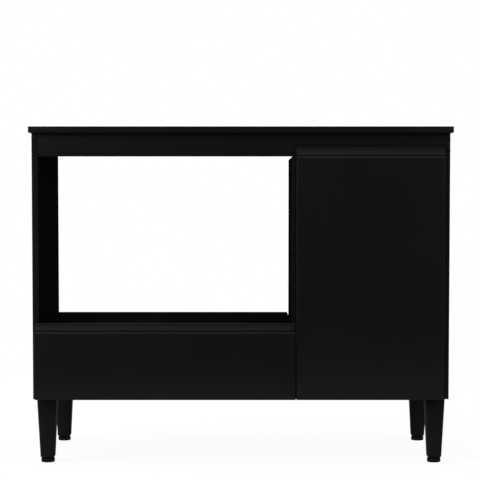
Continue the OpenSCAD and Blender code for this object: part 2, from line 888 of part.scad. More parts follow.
// A square tapered leg with chamfered corners, bored for its bolt and its foot's stud
module leg(place) {
    translate([place[0], place[1], 0])
        difference() {
            union() {
                hull() {
                    translate([0, 0, base_z - hull_skin])
                        linear_extrude(hull_skin)
                            polygon(chamfered_square(leg_top_w, leg_chamfer));
                    translate([0, 0, leg_knee_z])
                        linear_extrude(hull_skin)
                            polygon(chamfered_square(leg_foot_w, leg_chamfer));
                }
                hull() {
                    translate([0, 0, leg_knee_z])
                        linear_extrude(hull_skin)
                            polygon(chamfered_square(leg_foot_w, leg_chamfer));
                    translate([0, 0, leg_end_z])
                        linear_extrude(hull_skin)
                            polygon(chamfered_square(leg_end_w, leg_chamfer));
                }
            }
            rod_z(leg_end_z - over, foot_bore_top_z, 0, 0, foot_bore_r);
            rod_z(base_z - leg_bolt_l, base_z + over, 0, 0, leg_bolt_r);
        }
}

module leg_front_left() {
    color(black_plastic)
        leg(leg_places[0]);
}

module leg_front_right() {
    color(black_plastic)
        leg(leg_places[1]);
}

module leg_rear_left() {
    color(black_plastic)
        leg(leg_places[2]);
}

module leg_rear_right() {
    color(black_plastic)
        leg(leg_places[3]);
}

module leg_bolts() {
    color(steel)
        for (p = leg_places)
            rod_z(base_z - leg_bolt_l + rest_gap, base_z + leg_bolt_bite, p[0], p[1], leg_bolt_shank_r);
}

module levelling_foot(place) {
    translate([place[0], place[1], 0]) {
        cylinder(h = foot_edge, r1 = foot_r - foot_edge, r2 = foot_r);
        rod_z(foot_edge, foot_h, 0, 0, foot_r);
        rod_z(foot_h, foot_top_z, 0, 0, foot_collar_r);
        rod_z(foot_top_z, foot_top_z + foot_stud_l, 0, 0, foot_stud_r);
    }
}

module levelling_foot_front_left() {
    color(grey_plastic)
        levelling_foot(leg_places[0]);
}

module levelling_foot_front_right() {
    color(grey_plastic)
        levelling_foot(leg_places[1]);
}

module levelling_foot_rear_left() {
    color(grey_plastic)
        levelling_foot(leg_places[2]);
}

module levelling_foot_rear_right() {
    color(grey_plastic)
        levelling_foot(leg_places[3]);
}

// The plate's spine carries the arm, and its two wings take the screws
module hinge_plates() {
    color(steel)
        difference() {
            for (z = hinge_zs) {
                block([hinge_arm_x, hinge_plate_front_y, z - hinge_arm_half],
                    [side_inner_x, hinge_plate_rear_y, z + hinge_arm_half]);
                block([side_inner_x - hinge_wing_t, hinge_plate_front_y, z - hinge_wing_half],
                    [side_inner_x, hinge_screw_y + small_head_r * 2, z + hinge_wing_half]);
            }
            at_hinge_screws()
                flush_screw(hinge_wing_t, hole_gap);
        }
}

// The arm runs forward on its plate, turns inwards, and hooks into the cup to its eye
module hinge_arm(z) {
    arm_face_x = hinge_arm_x - hinge_arm_t;
    hook_left_x = hinge_hook_x - hinge_hook_t / 2;
    neck_y = hinge_pin_y - hinge_hook_t / 2;
    difference() {
        union() {
            block([arm_face_x, hinge_hook_y, z - hinge_arm_half],
                [hinge_arm_x, hinge_plate_rear_y, z + hinge_arm_half]);
            block([hook_left_x, hinge_hook_y, z - hinge_neck_half],
                [arm_face_x, hinge_hook_y + hinge_hook_t, z + hinge_neck_half]);
            block([hook_left_x, neck_y, z - hinge_neck_half],
                [hook_left_x + hinge_hook_t, hinge_hook_y + hinge_hook_t, z + hinge_neck_half]);
            block([hook_left_x, neck_y, z - hinge_eye_half],
                [hinge_pin_x, neck_y + hinge_hook_t, z + hinge_eye_half]);
            rod_z(z - hinge_eye_half, z + hinge_eye_half, hinge_pin_x, hinge_pin_y, hinge_eye_r);
        }
        rod_z(z - hinge_eye_half - over, z + hinge_eye_half + over, hinge_pin_x, hinge_pin_y,
            hinge_pin_r + hinge_pin_gap);
    }
}

module hinge_arms() {
    color(steel)
        for (z = hinge_zs)
            hinge_arm(z);
}

module hinge_plate_screws() {
    color(steel)
        at_hinge_screws()
            flush_screw(hinge_wing_t);
}

module door_panel() {
    color(laminate)
        difference() {
            block([door_left_x, front_face_y, base_z], [door_right_x, front_back_y, door_board_top_z]);
            for (z = hinge_zs)
                rod_y(cup_floor_y, front_back_y + over, cup_x, z, cup_hole_r);
            at_cup_screws()
                flush_screw(cup_flange_t, hole_gap);
            pull_groove(door_left_x, door_right_x, door_board_top_z);
        }
}

// The groove in a board's upper edge that takes a profile's tongue
module pull_groove(x0, x1, top_z) {
    tongue_y = front_face_y + pull_tongue_back;
    block([x0 - over, tongue_y, top_z - pull_tongue_h - hole_gap],
        [x1 + over, tongue_y + pull_tongue_t, top_z + over]);
}

// The profile's section, with its front face on the left and its foot at zero
module pull_section() {
    centre_y = pull_hollow_d - pull_hollow_r;
    difference() {
        square([front_t, pull_h]);
        translate([-over, pull_lip_h])
            square([pull_mouth_d + over, pull_hollow_high - pull_lip_h]);
        intersection() {
            translate([centre_y, (pull_hollow_low + pull_hollow_high) / 2])
                circle(r = pull_hollow_r);
            translate([0, pull_hollow_low])
                square([front_t, pull_hollow_high - pull_hollow_low]);
        }
        translate([-over, pull_hollow_high - over])
            square([pull_nose_back + over, pull_nose_h + over + over]);
        translate([pull_lip_t, pull_floor_t])
            square([pull_hollow_d - pull_lip_t, pull_hollow_low - pull_floor_t]);
    }
    translate([pull_tongue_back, -pull_tongue_h])
        square([pull_tongue_t, pull_tongue_h + pull_floor_t]);
}

module pull(x0, x1, foot_z) {
    translate([x0, front_face_y, foot_z])
        rotate([90, 0, 90])
            linear_extrude(x1 - x0)
                pull_section();
}

module door_handle_profile() {
    color(black_metal)
        pull(door_left_x, door_right_x, door_board_top_z);
}

// The cup's flange lies on the door's back, with two wings for its screws
module hinge_cups() {
    color(steel)
        difference() {
            for (z = hinge_zs) {
                rod_y(cup_floor_y, cup_face_y, cup_x, z, cup_r);
                block([cup_wing_x - cup_wing_half_x, front_back_y, z - cup_wing_half_z],
                    [cup_wing_x + cup_wing_half_x, cup_face_y, z + cup_wing_half_z]);
            }
            for (z = hinge_zs) {
                intersection() {
                    rod_y(cup_floor_y + cup_wall, cup_face_y + over, cup_x, z, cup_inner_r);
                    block([cup_x - cup_r, cup_floor_y + cup_wall, z - cup_slot_h / 2],
                        [cup_x + cup_r, cup_face_y + over, z + cup_slot_h / 2]);
                }
                rod_z(z - hinge_pin_half - hole_gap, z + hinge_pin_half + hole_gap,
                    hinge_pin_x, hinge_pin_y, hinge_pin_r + stud_gap);
            }
            at_cup_screws()
                flush_screw(cup_flange_t, hole_gap);
        }
}

module hinge_pins() {
    color(steel)
        for (z = hinge_zs)
            rod_z(z - hinge_pin_half, z + hinge_pin_half, hinge_pin_x, hinge_pin_y, hinge_pin_r);
}

module hinge_cup_screws() {
    color(steel)
        at_cup_screws()
            flush_screw(cup_flange_t);
}

module bumper(x, z) {
    rod_y(front_back_y, front_back_y + bumper_t, x, z, bumper_r);
}

module door_bumpers() {
    color(grey_plastic)
        for (z = [base_mid_z, (apron_z + door_top_z) / 2])
            bumper(door_left_x + bumper_inset, z);
}

module drawer_front() {
    color(laminate)
        difference() {
            block([drawer_front_left_x, front_face_y, base_z],
                [drawer_front_right_x, front_back_y, drawer_board_top_z]);
            pull_groove(drawer_front_left_x, drawer_front_right_x, drawer_board_top_z);
            block([drawer_left_x + drawer_board_t - drawer_groove_d,
                front_back_y - drawer_groove_d, drawer_bottom_z],
                [drawer_right_x - drawer_board_t + drawer_groove_d,
                front_back_y + over, drawer_bottom_z + drawer_bottom_t]);
            at_cams()
                cam_bolt(hole_gap);
        }
}

module drawer_handle_profile() {
    color(black_metal)
        pull(drawer_front_left_x, drawer_front_right_x, drawer_board_top_z);
}

module at_cams() {
    for (x = [drawer_left_x + drawer_board_t / 2, drawer_right_x - drawer_board_t / 2])
        for (z = cam_zs)
            translate([x, front_back_y + cam_setback, z])
                rotate([90, 0, 0])
                    children();
}

// A cam's bolt from the middle of the cam into the drawer front, or its hole
module cam_bolt(gap = 0) {
    cylinder(h = cam_setback + cam_bolt_bite + gap, r = cam_bolt_r + gap);
}

// A cam set in the inner face of a drawer's side
module cam(side, z, gap = 0) {
    wall_x = side < 0 ? drawer_left_x + drawer_board_t : drawer_right_x - drawer_board_t;
    translate([wall_x, front_back_y + cam_setback, z])
        rotate([0, 90 * side, 0])
            translate([0, 0, gap > 0 ? -over : 0])
                cylinder(h = cam_depth + gap + (gap > 0 ? over : 0), r = cam_r + gap);
}

module drawer_side(side) {
    x = side < 0 ? drawer_left_x : drawer_right_x - drawer_board_t;
    groove_x = side < 0 ? x + drawer_board_t - drawer_groove_d : x - over;
    difference() {
        block([x, front_back_y, drawer_z], [x + drawer_board_t, drawer_rear_y, drawer_top_z]);
        block([groove_x, front_back_y - over, drawer_bottom_z],
            [groove_x + drawer_groove_d + over, drawer_rear_y + over, drawer_bottom_z + drawer_bottom_t]);
        for (z = cam_zs)
            cam(side, z, hole_gap);
        at_cams()
            cam_bolt(hole_gap);
        at_drawer_slide_screws(side)
            flush_screw(rail_t, hole_gap);
        at_drawer_back_screws(side)
            drawer_screw(hole_gap);
    }
}

module drawer_side_left() {
    color(laminate)
        drawer_side(-1);
}

module drawer_side_right() {
    color(laminate)
        drawer_side(1);
}

module drawer_back() {
    color(laminate)
        difference() {
            block([drawer_left_x + drawer_board_t, drawer_rear_y - drawer_board_t,
                drawer_bottom_z + drawer_bottom_t],
                [drawer_right_x - drawer_board_t, drawer_rear_y, drawer_top_z]);
            for (side = [-1, 1])
                at_drawer_back_screws(side)
                    drawer_screw(hole_gap);
        }
}

module drawer_bottom() {
    color(hardboard)
        block([drawer_left_x + drawer_board_t - drawer_groove_d,
            front_back_y - drawer_groove_d, drawer_bottom_z],
            [drawer_right_x - drawer_board_t + drawer_groove_d, drawer_rear_y,
            drawer_bottom_z + drawer_bottom_t]);
}

module drawer_cams() {
    color(steel)
        difference() {
            for (side = [-1, 1])
                for (z = cam_zs)
                    cam(side, z);
            at_cams()
                translate([0, 0, -over])
                    cylinder(h = cam_setback, r = cam_bolt_r + hole_gap);
        }
}

module drawer_cam_bolts() {
    color(steel)
        at_cams()
            cam_bolt();
}

// A flush screw through a drawer's side into the end of its back
module drawer_screw(gap = 0) {
    translate([0, 0, gap > 0 ? -over : 0])
        cylinder(h = small_shank_r + (gap > 0 ? over : 0), r = small_head_r + gap);
    cylinder(h = drawer_board_t + small_screw_bite * 2 + gap, r = small_shank_r + gap);
}

module at_drawer_back_screws(side) {
    x = side < 0 ? drawer_left_x : drawer_right_x;
    for (z = back_screw_zs)
        translate([x, drawer_rear_y - drawer_board_t / 2, z])
            rotate([0, -90 * side, 0])
                children();
}

module drawer_screws() {
    color(steel)
        for (side = [-1, 1])
            at_drawer_back_screws(side)
                drawer_screw();
}

module drawer_bumpers() {
    color(grey_plastic)
        for (x = [bay_left_x + bumper_inset, bay_right_x - bumper_inset])
            for (z = [base_mid_z, niche_mid_z])
                bumper(x, z);
}

// A slide's cross-section is drawn for the right-hand wall and mirrored for the left
module slide_place(side) {
    wall_x = side < 0 ? bay_left_x : bay_right_x;
    translate([wall_x, 0, slide_z])
        mirror([side < 0 ? 0 : 1, 0, 0])
            children();
}

// One C-shaped rail from its web outwards
module rail(web_x, flange_x, end_x, half) {
    block([web_x, slide_y, -half], [web_x + rail_t, slide_y + slide_l, half]);
    for (way = [-1, 1])
        mirror([0, 0, way < 0 ? 1 : 0])
            block([flange_x, slide_y, half - rail_t], [end_x, slide_y + slide_l, half]);
}

module slide_outer(side) {
    color(steel)
        difference() {
            slide_place(side) {
                rail(0, 0, outer_lip_x + rail_t, outer_half);
                for (way = [-1, 1])
                    mirror([0, 0, way < 0 ? 1 : 0])
                        block([outer_lip_x, slide_y, outer_lip_z],
                            [outer_lip_x + rail_t, slide_y + slide_l, outer_half]);
            }
            at_slide_screws(side)
                flush_screw(rail_t, hole_gap);
        }
}

module slide_outer_left() {
    slide_outer(-1);
}

module slide_outer_right() {
    slide_outer(1);
}

module slide_middle(side) {
    color(steel)
        slide_place(side)
            rail(middle_x, middle_x, middle_end_x, middle_half);
}

module slide_middle_left() {
    slide_middle(-1);
}

module slide_middle_right() {
    slide_middle(1);
}

module slide_inner(side) {
    color(steel)
        difference() {
            slide_place(side)
                rail(inner_web_x, inner_flange_x, slide_t, inner_half);
            at_drawer_slide_screws(side)
                flush_screw(rail_t, hole_gap);
        }
}

module slide_inner_left() {
    slide_inner(-1);
}

module slide_inner_right() {
    slide_inner(1);
}

// A strip with a fin above and below, and a row of balls along each fin
module ball_cage(side, strip_x, ball_x, ball_z, ball_r) {
    color(steel)
        slide_place(side) {
            block([strip_x, cage_y, -ball_z - fin_half], [strip_x + cage_t, cage_y + cage_l, ball_z + fin_half]);
            for (way = [-1, 1])
                mirror([0, 0, way < 0 ? 1 : 0]) {
                    block([strip_x, cage_y, ball_z - fin_half], [ball_x, cage_y + cage_l, ball_z + fin_half]);
                    for (i = [0 : ball_count - 1])
                        translate([ball_x, cage_y + (i + 1 / 2) * ball_pitch, ball_z])
                            sphere(r = ball_r);
                }
        }
}

module ball_cage_outer_left() {
    ball_cage(-1, outer_cage_x, outer_ball_x, outer_ball_z, outer_ball_r);
}

module ball_cage_outer_right() {
    ball_cage(1, outer_cage_x, outer_ball_x, outer_ball_z, outer_ball_r);
}

module ball_cage_inner_left() {
    ball_cage(-1, inner_cage_x, inner_ball_x, inner_ball_z, inner_ball_r);
}

module ball_cage_inner_right() {
    ball_cage(1, inner_cage_x, inner_ball_x, inner_ball_z, inner_ball_r);
}

module slide_screws_carcass() {
    color(steel)
        for (side = [-1, 1])
            at_slide_screws(side)
                flush_screw(rail_t);
}

module slide_screws_drawer() {
    color(steel)
        for (side = [-1, 1])
            at_drawer_slide_screws(side)
                flush_screw(rail_t);
}

worktop();
worktop_edge_bands();
side_panel_left();
side_panel_right();
divider_panel();
base_panel();
niche_shelf();
front_apron();
rear_rail();
carcass_edge_bands();
cupboard_back();
drawer_bay_back();
cupboard_shelf();
shelf_pins();
corner_brackets();
bracket_screws();
carcass_screws();
screw_caps();
back_nails();
leg_front_left();
leg_front_right();
leg_rear_left();
leg_rear_right();
leg_bolts();
levelling_foot_front_left();
levelling_foot_front_right();
levelling_foot_rear_left();
levelling_foot_rear_right();
hinge_plates();
hinge_arms();
hinge_plate_screws();
door_panel();
door_handle_profile();
hinge_cups();
hinge_pins();
hinge_cup_screws();
door_bumpers();
drawer_front();
drawer_handle_profile();
drawer_side_left();
drawer_side_right();
drawer_back();
drawer_bottom();
drawer_cams();
drawer_cam_bolts();
drawer_screws();
drawer_bumpers();
slide_outer_left();
slide_outer_right();
slide_middle_left();
slide_middle_right();
slide_inner_left();
slide_inner_right();
ball_cage_outer_left();
ball_cage_outer_right();
ball_cage_inner_left();
ball_cage_inner_right();
slide_screws_carcass();
slide_screws_drawer();
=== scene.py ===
import json
import math

import bpy
from mathutils import Matrix, Vector


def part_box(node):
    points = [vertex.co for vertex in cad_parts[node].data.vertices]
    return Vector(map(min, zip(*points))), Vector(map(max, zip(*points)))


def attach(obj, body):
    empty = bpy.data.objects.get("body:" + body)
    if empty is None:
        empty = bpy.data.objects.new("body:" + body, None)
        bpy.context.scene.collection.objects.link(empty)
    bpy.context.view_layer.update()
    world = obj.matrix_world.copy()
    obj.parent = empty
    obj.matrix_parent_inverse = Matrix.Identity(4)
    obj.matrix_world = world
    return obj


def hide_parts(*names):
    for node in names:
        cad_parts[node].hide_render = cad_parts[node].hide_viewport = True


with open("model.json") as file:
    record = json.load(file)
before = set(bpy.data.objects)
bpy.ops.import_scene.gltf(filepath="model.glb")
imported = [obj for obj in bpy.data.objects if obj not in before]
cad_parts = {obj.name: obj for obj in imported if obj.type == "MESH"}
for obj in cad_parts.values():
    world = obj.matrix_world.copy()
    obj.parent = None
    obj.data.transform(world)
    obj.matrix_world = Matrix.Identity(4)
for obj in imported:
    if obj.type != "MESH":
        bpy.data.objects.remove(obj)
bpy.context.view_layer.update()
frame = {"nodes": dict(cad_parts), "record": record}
record = frame["record"]
body_of = {node: body for body, nodes in record["behaviour"]["bodies"].items() for node in nodes}
slot_of = {part["node"]: part["material_slot"] for part in record["subparts"]}

# Camera: its place in metres, its tilt in degrees, the picture it takes, and how far it sees in metres
camera_place = (-0.0002, -4.2902, 0.6428)
camera_tilt = 3.09
picture_px = 480
focal_px = 1637.3
picture_centre_px = (240.82, 294.9)
sensor_mm = 36
camera_reach = 100

# Room: how strong its even light is, how dim its front looks in reflections, and between which places,
# front to back, that turns into the white backdrop
room_light = 0.4
room_front = 0.08
room_front_ends = (-0.5, 0.1)

# Floor: its width, how far it comes out in front of the object's middle, its own colour and roughness,
# how brightly it glows as backdrop, and how much of it is backdrop
floor_w = 2.8
floor_front = 0.8
floor_white = 0.5
floor_roughness = 0.9
floor_glow = 1.1
floor_share = 0.85

# Softboxes: what they all aim at, and the place, width and power of each
lamp_aim = (0, 0, 0.4)
lamps = (
    ("key_light", (-3.6, -2.1, 1.6), 2.4, 150),
    ("fill_light", (2.8, -2.4, 1.3), 1.6, 38),
    ("top_light", (0, 0.4, 3.2), 2.4, 55),
)

# Meshes: points that count as one, how near a plane a point lies on it, the angle that still is flat,
# and those up to which faces shade smooth and from which an edge is sharp
weld = 1e-5
near = 2 * weld
flat_angle = math.radians(1)
smooth_angle = math.radians(32)
sharp_angle = math.radians(25)

# How squarely a face has to face a way: a board's rounded rim may lean, a disc's face may not
leaning = 0.7
square = 0.9
pull_rear = 0.95

# Rounding of edges: a board's arrises, those of the apron and the fronts, the fronts' upright edges and
# their edge at the handle profile's seam, edge tape, handle profiles and bent steel; and how deep the
# faces of a board's rounded rim may lie
arris = 0.0003
soft_arris = 0.0006
front_edge_r = 0.002
joint_edge_r = 0.001
tape_edge_r = 0.0006
pull_edge_r = 0.0004
steel_edge_r = 0.0003
rim_depth = 0.0009

# Handle profiles: height above their board, thickness of the lip, and height of the hollow's foot
pull_h = 0.0254
lip_t = 0.0022
hollow_foot_h = 0.0074

# Legs: width at the knee and at the end, height of the end under the knee, chamfer of the four corners
# and rounding of all edges
leg_foot_w = 0.035
leg_end_w = 0.031
leg_end_h = 0.002
leg_chamfer = 0.004
leg_edge_r = 0.0006

# Levelling feet: disc, collar and their rounding, flutes round the disc's side and how far that may
# lean, and the threaded stud
foot_h = 0.0105
foot_collar_r = 0.0125
foot_collar_h = 0.0019
foot_edge_r = foot_h / 6
foot_arc_share = 0.3
foot_flutes = 24
foot_flute_steps = 3
foot_flute_depth = 0.0005
foot_flute_share = 1 / 3
foot_side_tilt = 0.2
stud_r = 0.004
thread_pitch = 0.00125
thread_depth = 0.0005

# Screws: sides of a disc, shank and cross recess as shares of the head's radius, tip as a share of the
# shank, what is left of the recess's width at its bottom, its depth and the rounding of the head as
# shares of the head's height, the least rounding as a share of its radius, and how near the head's edge
# and its face a point counts as on them
disc_steps = 28
shank_share = 0.547
tip_share = 0.1
recess_share = 0.62
recess_w_share = 0.2
recess_taper_share = 0.62
recess_depth_share = 0.7
head_round_share = 0.35
head_round_least = 0.08
head_rim_share = 0.98
head_face_near = 5 * weld

# Cover caps: sides, rings inset one in another, as shares of the radius, and the dome they make, as
# pairs of the share of the radius past which it drops and the share of the height by which it does
cap_steps = 40
cap_rings = (0.12, 0.2, 0.3)
cap_dome = ((0.99, 0.7), (0.85, 0.35), (0.6, 0.12))

# Other hardware: the cam locks' cross recess, brackets' thickness and corners, slide rails and bumpers
cam_r = 0.006
cam_recess_depth = 0.003
bracket_corner_r = 0.004
bracket_t = 0.002
rail_edge_r = 0.00015
bumper_edge_r = 0.0008

# Finishes: between which values a noise texture mostly lies, between which of them specks fade, how dark
# the specks of foil and of plastic are, the tint that changes nothing, how the drawing lines of handle
# profiles and of steel stretch a noise, and how high each texture stands in metres
noise_ends = (0.3, 0.7)
speck_ends = (0.4, 0.6)
pearl_dark = 0.6
spark_dark = 0.7
clear = (1, 1, 1)
profile_lines = (8, 1200, 1200)
steel_lines = (900, 25, 900)
pearl_h = 0.00003
pore_h = 0.00001
chip_h = 0.0004
grain_h = 0.0003
fibre_h = 0.0001
drawn_h = 0.00002
speck_h = 0.00002
spark_h = 0.00003


def only(*pieces):
    """Selects these pieces alone and makes the first one active."""
    bpy.ops.object.select_all(action="DESELECT")
    for piece in pieces:
        piece.select_set(True)
    bpy.context.view_layer.objects.active = pieces[0]


def edit(piece, mode):
    """Opens a piece in edit mode, for its vertices, edges or faces."""
    only(piece)
    bpy.ops.object.mode_set(mode="EDIT")
    bpy.ops.mesh.select_mode(type=mode)


def done():
    bpy.ops.object.mode_set(mode="OBJECT")


def pick(piece, mode, wanted):
    """Leaves the piece in edit mode with what passes wanted selected, and says how much that is.
    wanted gets a vertex's place, an edge's two ends, or a face."""
    edit(piece, mode)
    bpy.ops.mesh.select_all(action="DESELECT")
    done()
    mesh = piece.data
    count = 0
    if mode == "VERT":
        for vertex in mesh.vertices:
            vertex.select = wanted(vertex.co)
            count += vertex.select
    elif mode == "EDGE":
        for edge in mesh.edges:
            edge.select = wanted(*(mesh.vertices[v].co for v in edge.vertices))
            count += edge.select
    else:
        for face in mesh.polygons:
            face.select = wanted(face)
            count += face.select
    bpy.ops.object.mode_set(mode="EDIT")
    return count


def round_edges(piece, wanted, radius, segments=2):
    """Rounds those edges of a piece whose two ends pass wanted."""
    if pick(piece, "EDGE", wanted):
        bpy.ops.mesh.bevel(offset=radius, segments=segments, affect="EDGES", clamp_overlap=True)
    done()


def smooth(piece):
    only(piece)
    bpy.ops.object.shade_smooth_by_angle(angle=smooth_angle)


def applied(piece, modifier):
    only(piece)
    bpy.ops.object.modifier_apply(modifier=modifier.name)


def copied(node, name):
    """A new piece with a CAD node's mesh, its loose triangles merged into whole faces."""
    piece = bpy.data.objects.new(name, frame["nodes"][node].data.copy())
    bpy.context.scene.collection.objects.link(piece)
    piece.data.materials.clear()
    edit(piece, "EDGE")
    bpy.ops.mesh.select_all(action="SELECT")
    bpy.ops.mesh.customdata_custom_splitnormals_clear()
    bpy.ops.mesh.remove_doubles(threshold=weld)
    bpy.ops.mesh.dissolve_limited(angle_limit=flat_angle)
    done()
    return piece


def solids_of(node):
    """The corner points of each separate solid of a CAD node."""
    scratch = copied(node, "scratch")
    edit(scratch, "VERT")
    bpy.ops.mesh.select_all(action="SELECT")
    bpy.ops.mesh.separate(type="LOOSE")
    done()
    solids = []
    for part in list(bpy.context.selected_objects):
        solids.append([v.co.copy() for v in part.data.vertices])
        bpy.data.objects.remove(part)
    return solids


def corners(points):
    """The lowest and the highest corner of the box round some points."""
    return Vector(map(min, *points)), Vector(map(max, *points))


def settle(piece, node, material=None):
    """Hangs a finished piece on its body in place of its CAD node."""
    if material:
        piece.data.materials.clear()
        piece.data.materials.append(material)
    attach(piece, body_of[node])
    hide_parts(node)
    return piece


def joined(pieces, name):
    only(*pieces)
    bpy.ops.object.join()
    pieces[0].name = name
    return pieces[0]


def new_shader(name):
    material = bpy.data.materials.new(name)
    material.use_nodes = True
    tree = material.node_tree
    return material, tree, tree.nodes["Principled BSDF"]


def pattern(tree, kind, stretch=(1, 1, 1), **settings):
    """A texture on Object coordinates, stretched, with its sockets set."""
    place = tree.nodes.new("ShaderNodeTexCoord")
    mapping = tree.nodes.new("ShaderNodeMapping")
    mapping.inputs["Scale"].default_value = stretch
    texture = tree.nodes.new(kind)
    for socket, value in settings.items():
        texture.inputs[socket.replace("_", " ")].default_value = value
    tree.links.new(place.outputs["Object"], mapping.inputs["Vector"])
    tree.links.new(mapping.outputs["Vector"], texture.inputs["Vector"])
    return texture


def ranged(tree, source, low, high, ends=noise_ends):
    """The source's values between the ends, as values from low to high."""
    node = tree.nodes.new("ShaderNodeMapRange")
    node.inputs["From Min"].default_value = ends[0]
    node.inputs["From Max"].default_value = ends[1]
    node.inputs["To Min"].default_value = low
    node.inputs["To Max"].default_value = high
    tree.links.new(source, node.inputs["Value"])
    return node.outputs["Result"]


def shaded(tree, source, stops):
    """A colour ramp over the source, from (place, colour) stops."""
    node = tree.nodes.new("ShaderNodeValToRGB")
    ramp = node.color_ramp
    while len(ramp.elements) < len(stops):
        ramp.elements.new(0.5)
    for element, (place, colour) in zip(ramp.elements, stops):
        element.position = place
        element.color = (*colour, 1)
    tree.links.new(source, node.inputs["Fac"])
    return node.outputs["Color"]


def toned(tree, under, over, share):
    """One colour multiplied by a share of another."""
    mix = tree.nodes.new("ShaderNodeMix")
    mix.data_type = "RGBA"
    mix.blend_type = "MULTIPLY"
    mix.inputs["Factor"].default_value = share
    tree.links.new(under, mix.inputs["A"])
    tree.links.new(over, mix.inputs["B"])
    return mix.outputs["Result"]


def raised(tree, shader, heights, strength):
    """Bump from (source, height in metres) pairs, one over the other."""
    normal = None
    for source, height in heights:
        node = tree.nodes.new("ShaderNodeBump")
        node.inputs["Strength"].default_value = strength
        node.inputs["Distance"].default_value = height
        tree.links.new(source, node.inputs["Height"])
        if normal:
            tree.links.new(normal, node.inputs["Normal"])
        normal = node.outputs["Normal"]
    tree.links.new(normal, shader.inputs["Normal"])


def tinted(tree, shader, source, dark, light):
    """The colour of a finish, from dark to light over the source."""
    ends = [(noise_ends[0], dark), (noise_ends[1], light)]
    tree.links.new(shaded(tree, source.outputs["Fac"], ends), shader.inputs["Base Color"])


def speckled(tree, shader, source, dark, light, specks, low):
    """The colour of a finish, from dark to light over the source, and low times as light in its specks."""
    ends = [(noise_ends[0], dark), (noise_ends[1], light)]
    colour = shaded(tree, source.outputs["Fac"], ends)
    speck_tones = [(speck_ends[0], (low, low, low)), (speck_ends[1], clear)]
    speckle = shaded(tree, specks.outputs["Fac"], speck_tones)
    tree.links.new(toned(tree, colour, speckle, share=1), shader.inputs["Base Color"])


def glossed(tree, shader, source, gloss):
    """The roughness of a finish, over the source."""
    tree.links.new(ranged(tree, source.outputs["Fac"], *gloss), shader.inputs["Roughness"])


def lacquered(shader, lacquer, gloss):
    """Leaves all shine to a thin clear coat, so that black stays black where light grazes it."""
    shader.inputs["Specular IOR Level"].default_value = 0
    shader.inputs["Coat Weight"].default_value = lacquer
    shader.inputs["Coat Roughness"].default_value = gloss[0]


def satin_board(name, dark, light, gloss, lacquer):
    """Black paper foil: a pearl texture under a thin lacquer, with faint cloudiness in its colour."""
    material, tree, shader = new_shader(name)
    cloud = pattern(tree, "ShaderNodeTexNoise", Scale=7.0, Detail=3.0)
    pearl = pattern(tree, "ShaderNodeTexNoise", Scale=950.0, Detail=2.0)
    pore = pattern(tree, "ShaderNodeTexVoronoi", Scale=1400.0)
    speckled(tree, shader, cloud, dark, light, pearl, pearl_dark)
    glossed(tree, shader, pearl, gloss)
    relief = [(pearl.outputs["Fac"], pearl_h), (pore.outputs["Distance"], pore_h)]
    raised(tree, shader, relief, strength=0.4)
    lacquered(shader, lacquer, gloss)
    return material


def chipboard(name):
    """The raw core of a board: flattened wood chips in pale and dark browns."""
    material, tree, shader = new_shader(name)
    chips = pattern(tree, "ShaderNodeTexVoronoi", (0.6, 0.6, 1.3), Scale=520.0)
    grain = pattern(tree, "ShaderNodeTexNoise", Scale=260.0, Detail=6.0)
    gap, wood, pale_wood = (0.15, 0.085, 0.045), (0.36, 0.235, 0.13), (0.55, 0.40, 0.25)
    brown = shaded(tree, grain.outputs["Fac"], [(0.3, gap), (0.5, wood), (0.7, pale_wood)])
    dull_chip = (0.55, 0.5, 0.45)
    chip = shaded(tree, chips.outputs["Color"], [(0.1, dull_chip), (0.9, clear)])
    tree.links.new(toned(tree, brown, chip, share=0.8), shader.inputs["Base Color"])
    relief = [(chips.outputs["Distance"], chip_h), (grain.outputs["Fac"], grain_h)]
    raised(tree, shader, relief, strength=0.6)
    shader.inputs["Roughness"].default_value = 0.92
    shader.inputs["Specular IOR Level"].default_value = 0.2
    return material


def fibreboard(name):
    """Raw hardboard: brown pressed fibre with fine dark flecks."""
    material, tree, shader = new_shader(name)
    fibre = pattern(tree, "ShaderNodeTexNoise", Scale=420.0, Detail=8.0, Roughness=0.7)
    blotch = pattern(tree, "ShaderNodeTexNoise", Scale=14.0, Detail=3.0)
    fleck, pressed, pale = (0.10, 0.055, 0.03), (0.21, 0.125, 0.07), (0.31, 0.20, 0.12)
    brown = shaded(tree, fibre.outputs["Fac"], [(0.3, fleck), (0.55, pressed), (0.75, pale)])
    dull_patch = (0.75, 0.72, 0.7)
    faded = shaded(tree, blotch.outputs["Fac"], [(0.35, dull_patch), (0.65, clear)])
    tree.links.new(toned(tree, brown, faded, share=0.5), shader.inputs["Base Color"])
    raised(tree, shader, [(fibre.outputs["Fac"], fibre_h)], strength=0.5)
    shader.inputs["Roughness"].default_value = 0.75
    shader.inputs["Specular IOR Level"].default_value = 0.3
    return material


def drawn_metal(name, dark, light, gloss, stretch):
    """Metal with fine drawing lines along the axis that stretch leaves longest."""
    material, tree, shader = new_shader(name)
    lines = pattern(tree, "ShaderNodeTexNoise", stretch, Scale=1.0, Detail=4.0)
    cloud = pattern(tree, "ShaderNodeTexNoise", Scale=25.0, Detail=2.0)
    tinted(tree, shader, cloud, dark, light)
    glossed(tree, shader, lines, gloss)
    raised(tree, shader, [(lines.outputs["Fac"], drawn_h)], strength=0.3)
    shader.inputs["Metallic"].default_value = 1
    return material


